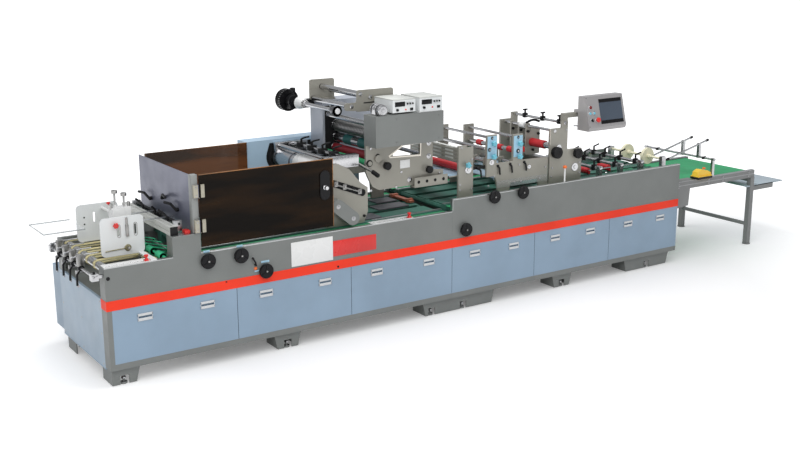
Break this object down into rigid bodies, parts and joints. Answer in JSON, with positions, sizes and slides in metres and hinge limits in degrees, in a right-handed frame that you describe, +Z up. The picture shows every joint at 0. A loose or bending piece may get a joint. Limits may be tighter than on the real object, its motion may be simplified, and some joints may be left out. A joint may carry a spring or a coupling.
{
  "type": "window patching machine",
  "caption": "Carton window patching machine with sheet feeder, hinged smoked guard, patching tower, delivery bed with press bars and a belt stand.",
  "frame": {"origin": "middle of the machine's footprint on the floor", "axes": "+X along the sheet flow from the feeder to the delivery belt, +Y from the operator's side to the drive side, +Z up"},
  "size_m": [7.3202, 1.215, 1.8803],
  "materials": {
    "body_paint": "satin grey paint",
    "door_paint": "satin blue-grey paint",
    "cover_paint": "satin light blue paint",
    "stripe_paint": "gloss orange-red paint",
    "stand_paint": "satin dark grey paint",
    "unit_plate": "warm grey enamel",
    "guard_paint": "violet-grey enamel",
    "white_plate": "white enamel",
    "bright_steel": "ground and chromed",
    "machined_aluminium": "milled",
    "green_belt": "matt green belting",
    "cream_belt": "matt cream belting",
    "black_rubber": "ground rubber",
    "red_rubber": "ground rubber",
    "black_metal": "black enamel",
    "smoked_sheet": "smoked acrylic sheet",
    "clear_sheet": "clear acrylic sheet",
    "foam_cream": "soft cream foam tyre",
    "switch_plastic": "yellow moulded plastic"
  },
  "bodies": {
    "machine": {"cabinet_infeed": "body_paint", "cabinet_delivery": "body_paint", "side_plate_front_infeed": "body_paint", "side_plate_back_infeed": "body_paint", "side_plate_front_delivery": "body_paint", "side_plate_back_delivery": "body_paint", "tower_cover_near": "body_paint", "belt_cover": "body_paint", "door_1": "door_paint", "door_2": "door_paint", "door_3": "door_paint", "door_4": "door_paint", "door_5": "door_paint", "door_6": "door_paint", "drive_cover_infeed": "door_paint", "drive_cover_delivery": "door_paint", "end_panel": "cover_paint", "gear_cover": "cover_paint", "tray": "cover_paint", "stripe": "stripe_paint", "belt_stand": "stand_paint", "glue_plate": "unit_plate", "tower_plate_near": "unit_plate", "tower_plate_far": "unit_plate", "web_guide": "unit_plate", "crease_unit": "unit_plate", "fold_unit": "unit_plate", "delivery_frame": "unit_plate", "guard_end": "guard_paint", "tower_cover_far": "guard_paint", "feed_plate_near": "white_plate", "feed_plate_far": "white_plate", "power_box_left": "white_plate", "power_box_right": "white_plate", "clutch": "bright_steel", "feed_gate": "machined_aluminium", "backstop": "machined_aluminium", "crossbeam": "machined_aluminium", "rear_carriage": "machined_aluminium", "press_bars": "machined_aluminium", "stop_bar": "machined_aluminium", "bed_infeed": "green_belt", "bed_delivery": "green_belt", "delivery_belt": "green_belt", "feed_belts": "cream_belt", "reel_brake": "black_metal", "guard_panel": "smoked_sheet", "clear_table": "clear_sheet", "foot_switch": "switch_plastic"},
    "guard_door": {"guard_door": "smoked_sheet"},
    "control_box": {"control_box": "machined_aluminium"},
    "reel_shaft": {"reel_shaft": "bright_steel"},
    "plate_cylinder": {"plate_cylinder": "bright_steel"},
    "green_roller": {"green_roller": "green_belt"},
    "red_roller": {"red_roller": "red_rubber"},
    "lower_nip_roller": {"lower_nip_roller": "bright_steel"},
    "upper_nip_roller": {"upper_nip_roller": "black_rubber"},
    "idler_roller": {"idler_roller": "bright_steel"},
    "feed_shaft": {"feed_shaft": "green_belt"},
    "press_wheels": {"press_wheels": "foam_cream"}
  },
  "joints": [
    {"name": "guard_door_swing", "type": "hinge", "parent": "machine", "child": "guard_door", "pos_m": [-2.73765, -0.569, 1.15], "axis": [0, 0, -1], "range_deg": [0, 110]},
    {"name": "control_box_swivel", "type": "hinge", "parent": "machine", "child": "control_box", "pos_m": [0.88185, -0.4125, 1.53], "axis": [0, 0, 1], "range_deg": [-30, 30]},
    {"name": "reel_shaft_spin", "type": "hinge", "parent": "machine", "child": "reel_shaft", "pos_m": [-1.46515, 0.0375, 1.708], "axis": [0, 1, 0], "continuous": true},
    {"name": "plate_cylinder_spin", "type": "hinge", "parent": "machine", "child": "plate_cylinder", "pos_m": [-1.58515, -0.0625, 1.262], "axis": [0, 1, 0], "continuous": true},
    {"name": "green_roller_spin", "type": "hinge", "parent": "machine", "child": "green_roller", "pos_m": [-1.25515, -0.08, 1.3], "axis": [0, 1, 0], "continuous": true},
    {"name": "red_roller_spin", "type": "hinge", "parent": "machine", "child": "red_roller", "pos_m": [-1.17815, -0.08, 1.33], "axis": [0, 1, 0], "continuous": true},
    {"name": "lower_nip_roller_spin", "type": "hinge", "parent": "machine", "child": "lower_nip_roller", "pos_m": [-1.15515, -0.08, 1.412], "axis": [0, 1, 0], "continuous": true},
    {"name": "upper_nip_roller_spin", "type": "hinge", "parent": "machine", "child": "upper_nip_roller", "pos_m": [-1.15515, -0.0775, 1.508], "axis": [0, 1, 0], "continuous": true},
    {"name": "idler_roller_spin", "type": "hinge", "parent": "machine", "child": "idler_roller", "pos_m": [-1.23515, -0.0775, 1.6], "axis": [0, 1, 0], "continuous": true},
    {"name": "feed_shaft_spin", "type": "hinge", "parent": "machine", "child": "feed_shaft", "pos_m": [-2.97815, -0.0625, 0.838], "axis": [0, 1, 0], "continuous": true},
    {"name": "press_wheels_spin", "type": "hinge", "parent": "machine", "child": "press_wheels", "pos_m": [1.98985, -0.1175, 0.985], "axis": [0, 1, 0], "continuous": true}
  ]
}
